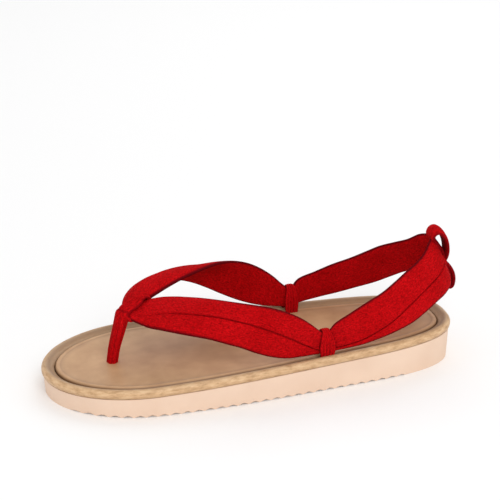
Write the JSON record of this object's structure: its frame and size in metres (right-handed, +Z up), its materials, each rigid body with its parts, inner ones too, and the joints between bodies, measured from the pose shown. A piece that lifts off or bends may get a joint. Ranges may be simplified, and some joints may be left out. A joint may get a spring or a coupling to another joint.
{
  "type": "thong sandal",
  "caption": "Flat-soled thong sandal with padded cloth straps that cross the instep, side loops, a heel band and a tied bow at the back.",
  "frame": {"origin": "on the plane of the tread, under the middle of the foam sole", "axes": "+X to the toe, +Y to the outer side of the sandal as worn on the left, +Z up"},
  "size_m": [0.253, 0.0998, 0.0783],
  "materials": {
    "foam": "matte EVA foam",
    "edging": "soft leatherette, slightly mottled",
    "panel": "soft leatherette, satin",
    "cloth": "red crepe cloth, matte"
  },
  "bodies": {
    "root": {"outsole": "foam", "insole": "panel", "edge_roll": "edging", "straps": "cloth", "toe_thong": "cloth", "side_loop_near": "cloth", "side_loop_far": "cloth", "heel_bow": "cloth"}
  },
  "joints": []
}
